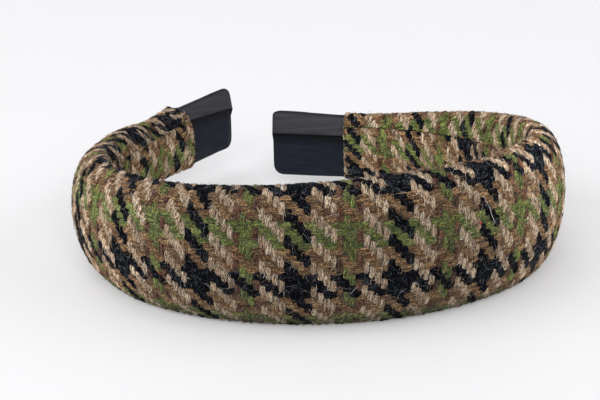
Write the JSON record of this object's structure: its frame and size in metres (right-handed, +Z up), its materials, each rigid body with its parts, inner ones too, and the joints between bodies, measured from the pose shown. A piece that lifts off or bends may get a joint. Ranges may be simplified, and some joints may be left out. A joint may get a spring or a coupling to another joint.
{
  "type": "padded headband",
  "caption": "Wide padded alice band wrapped in brown, black and green check tweed, with black ribbon caps on its tips.",
  "frame": {"origin": "middle of the part's outline at floor level, under the open ring, where the band lies on its lower edge", "axes": "+Z up from the table, the padded crown towards -Y, the gap between the tips towards +Y, +X to the right when the crown faces the viewer"},
  "size_m": [0.1392, 0.1354, 0.0406],
  "materials": {
    "check_tweed": "chunky twill-woven wool check, slightly hairy",
    "black_ribbon": "fine ribbed ribbon with a soft sheen"
  },
  "bodies": {
    "root": {"tweed_cover": "check_tweed", "left_ribbon_cap": "black_ribbon", "right_ribbon_cap": "black_ribbon"}
  },
  "joints": []
}
